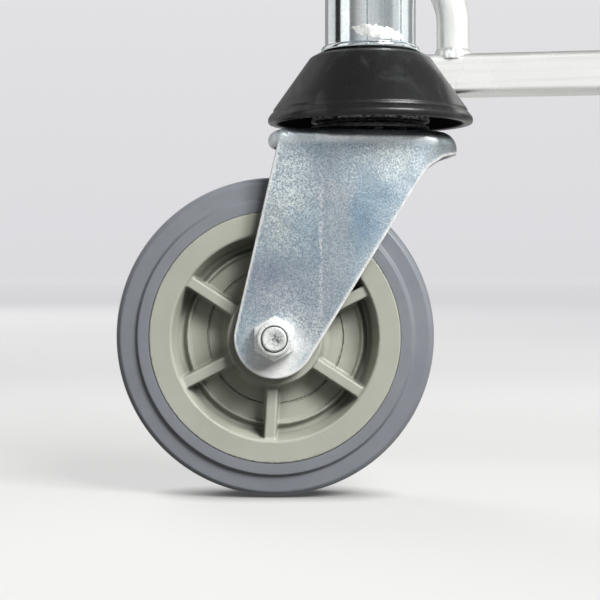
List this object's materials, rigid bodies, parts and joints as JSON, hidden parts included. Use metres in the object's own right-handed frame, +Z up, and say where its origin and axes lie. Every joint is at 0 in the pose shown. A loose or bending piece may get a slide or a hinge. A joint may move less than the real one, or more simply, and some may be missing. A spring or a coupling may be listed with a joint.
{
  "type": "walking frame",
  "caption": "Wheeled walking frame with a welded tube base on swivel castors, telescopic uprights clamped by knobs, and a U-shaped padded forearm rest with upright hand grips.",
  "frame": {"origin": "on the floor, in the middle of the overall plan", "axes": "+X is the walking direction, +Y the user's left, +Z up"},
  "size_m": [0.7281, 0.705, 1.125],
  "materials": {
    "plated_tube": "bright zinc plate on drawn tube",
    "zinc_pressing": "blue zinc plate with fine spangle",
    "fastener": "bright zinc plate",
    "bright_steel": "ground",
    "wheel_plastic": "moulded, fine texture",
    "tyre_rubber": "smooth matte",
    "buffer_rubber": "glossy moulded",
    "grip_rubber": "matte, ribbed",
    "black_plastic": "fine moulded texture",
    "board": "sealed board",
    "pad_cover": "grained, coated wipe-clean fabric over foam, piped seam"
  },
  "bodies": {
    "base_frame": {"post_rear_left": "plated_tube", "post_rear_right": "plated_tube", "post_front_left": "plated_tube", "post_front_right": "plated_tube", "side_rail_left": "plated_tube", "side_rail_right": "plated_tube", "front_rail": "plated_tube", "upper_rails": "plated_tube", "corner_braces": "plated_tube", "castor_sockets": "plated_tube", "swivel_heads": "zinc_pressing", "kingpins": "bright_steel", "swivel_balls": "bright_steel", "rubber_buffers": "buffer_rubber", "rail_end_caps": "black_plastic", "clamp_bosses": "plated_tube", "post_collars": "black_plastic"},
    "castor_rear_left": {"fork_rear_left": "zinc_pressing", "axle_bolt_rear_left": "fastener", "axle_nut_rear_left": "fastener", "axle_sleeve_rear_left": "bright_steel"},
    "wheel_rear_left": {"wheel_core_rear_left": "wheel_plastic", "tyre_rear_left": "tyre_rubber", "wheel_bearings_rear_left": "bright_steel"},
    "castor_rear_right": {"fork_rear_right": "zinc_pressing", "axle_bolt_rear_right": "fastener", "axle_nut_rear_right": "fastener", "axle_sleeve_rear_right": "bright_steel"},
    "wheel_rear_right": {"wheel_core_rear_right": "wheel_plastic", "tyre_rear_right": "tyre_rubber", "wheel_bearings_rear_right": "bright_steel"},
    "castor_front_left": {"fork_front_left": "zinc_pressing", "axle_bolt_front_left": "fastener", "axle_nut_front_left": "fastener", "axle_sleeve_front_left": "bright_steel"},
    "wheel_front_left": {"wheel_core_front_left": "wheel_plastic", "tyre_front_left": "tyre_rubber", "wheel_bearings_front_left": "bright_steel"},
    "castor_front_right": {"fork_front_right": "zinc_pressing", "axle_bolt_front_right": "fastener", "axle_nut_front_right": "fastener", "axle_sleeve_front_right": "bright_steel"},
    "wheel_front_right": {"wheel_core_front_right": "wheel_plastic", "tyre_front_right": "tyre_rubber", "wheel_bearings_front_right": "bright_steel"},
    "upper_frame": {"top_hoop_left": "plated_tube", "top_hoop_right": "plated_tube", "cross_tube": "plated_tube", "pad_board": "board", "arm_pad": "pad_cover", "pad_screws": "fastener", "tube_saddles": "zinc_pressing", "grip_bars": "plated_tube", "hand_grips": "grip_rubber"},
    "knob_rear_left": {"clamp_knob_rear_left": "black_plastic"},
    "knob_rear_right": {"clamp_knob_rear_right": "black_plastic"},
    "knob_front_left": {"clamp_knob_front_left": "black_plastic"},
    "knob_front_right": {"clamp_knob_front_right": "black_plastic"}
  },
  "joints": [
    {"name": "swivel_rear_left", "type": "hinge", "parent": "base_frame", "child": "castor_rear_left", "pos_m": [-0.245, 0.3, 0.1715], "axis": [0, 0, 1], "continuous": true},
    {"name": "roll_rear_left", "type": "hinge", "parent": "castor_rear_left", "child": "wheel_rear_left", "pos_m": [-0.28932, 0.29219, 0.075], "axis": [-0.1736, 0.9848, 0], "continuous": true},
    {"name": "swivel_rear_right", "type": "hinge", "parent": "base_frame", "child": "castor_rear_right", "pos_m": [-0.245, -0.3, 0.1715], "axis": [0, 0, 1], "continuous": true},
    {"name": "roll_rear_right", "type": "hinge", "parent": "castor_rear_right", "child": "wheel_rear_right", "pos_m": [-0.28932, -0.30781, 0.075], "axis": [-0.1736, 0.9848, 0], "continuous": true},
    {"name": "swivel_front_left", "type": "hinge", "parent": "base_frame", "child": "castor_front_left", "pos_m": [0.315, 0.3, 0.1715], "axis": [0, 0, 1], "continuous": true},
    {"name": "roll_front_left", "type": "hinge", "parent": "castor_front_left", "child": "wheel_front_left", "pos_m": [0.27068, 0.29219, 0.075], "axis": [-0.1736, 0.9848, 0], "continuous": true},
    {"name": "swivel_front_right", "type": "hinge", "parent": "base_frame", "child": "castor_front_right", "pos_m": [0.315, -0.3, 0.1715], "axis": [0, 0, 1], "continuous": true},
    {"name": "roll_front_right", "type": "hinge", "parent": "castor_front_right", "child": "wheel_front_right", "pos_m": [0.27068, -0.30781, 0.075], "axis": [-0.1736, 0.9848, 0], "continuous": true},
    {"name": "height_slide", "type": "slide", "parent": "base_frame", "child": "upper_frame", "axis": [0, 0, 1], "range_m": [-0.1, 0.15]},
    {"name": "clamp_rear_left", "type": "hinge", "parent": "base_frame", "child": "knob_rear_left", "pos_m": [-0.245, 0.34, 0.67], "axis": [0, 1, 0], "range_deg": [-90, 720]},
    {"name": "clamp_rear_right", "type": "hinge", "parent": "base_frame", "child": "knob_rear_right", "pos_m": [-0.245, -0.34, 0.67], "axis": [0, -1, 0], "range_deg": [-90, 720]},
    {"name": "clamp_front_left", "type": "hinge", "parent": "base_frame", "child": "knob_front_left", "pos_m": [0.315, 0.34, 0.67], "axis": [0, 1, 0], "range_deg": [-90, 720]},
    {"name": "clamp_front_right", "type": "hinge", "parent": "base_frame", "child": "knob_front_right", "pos_m": [0.315, -0.34, 0.67], "axis": [0, -1, 0], "range_deg": [-90, 720]}
  ]
}
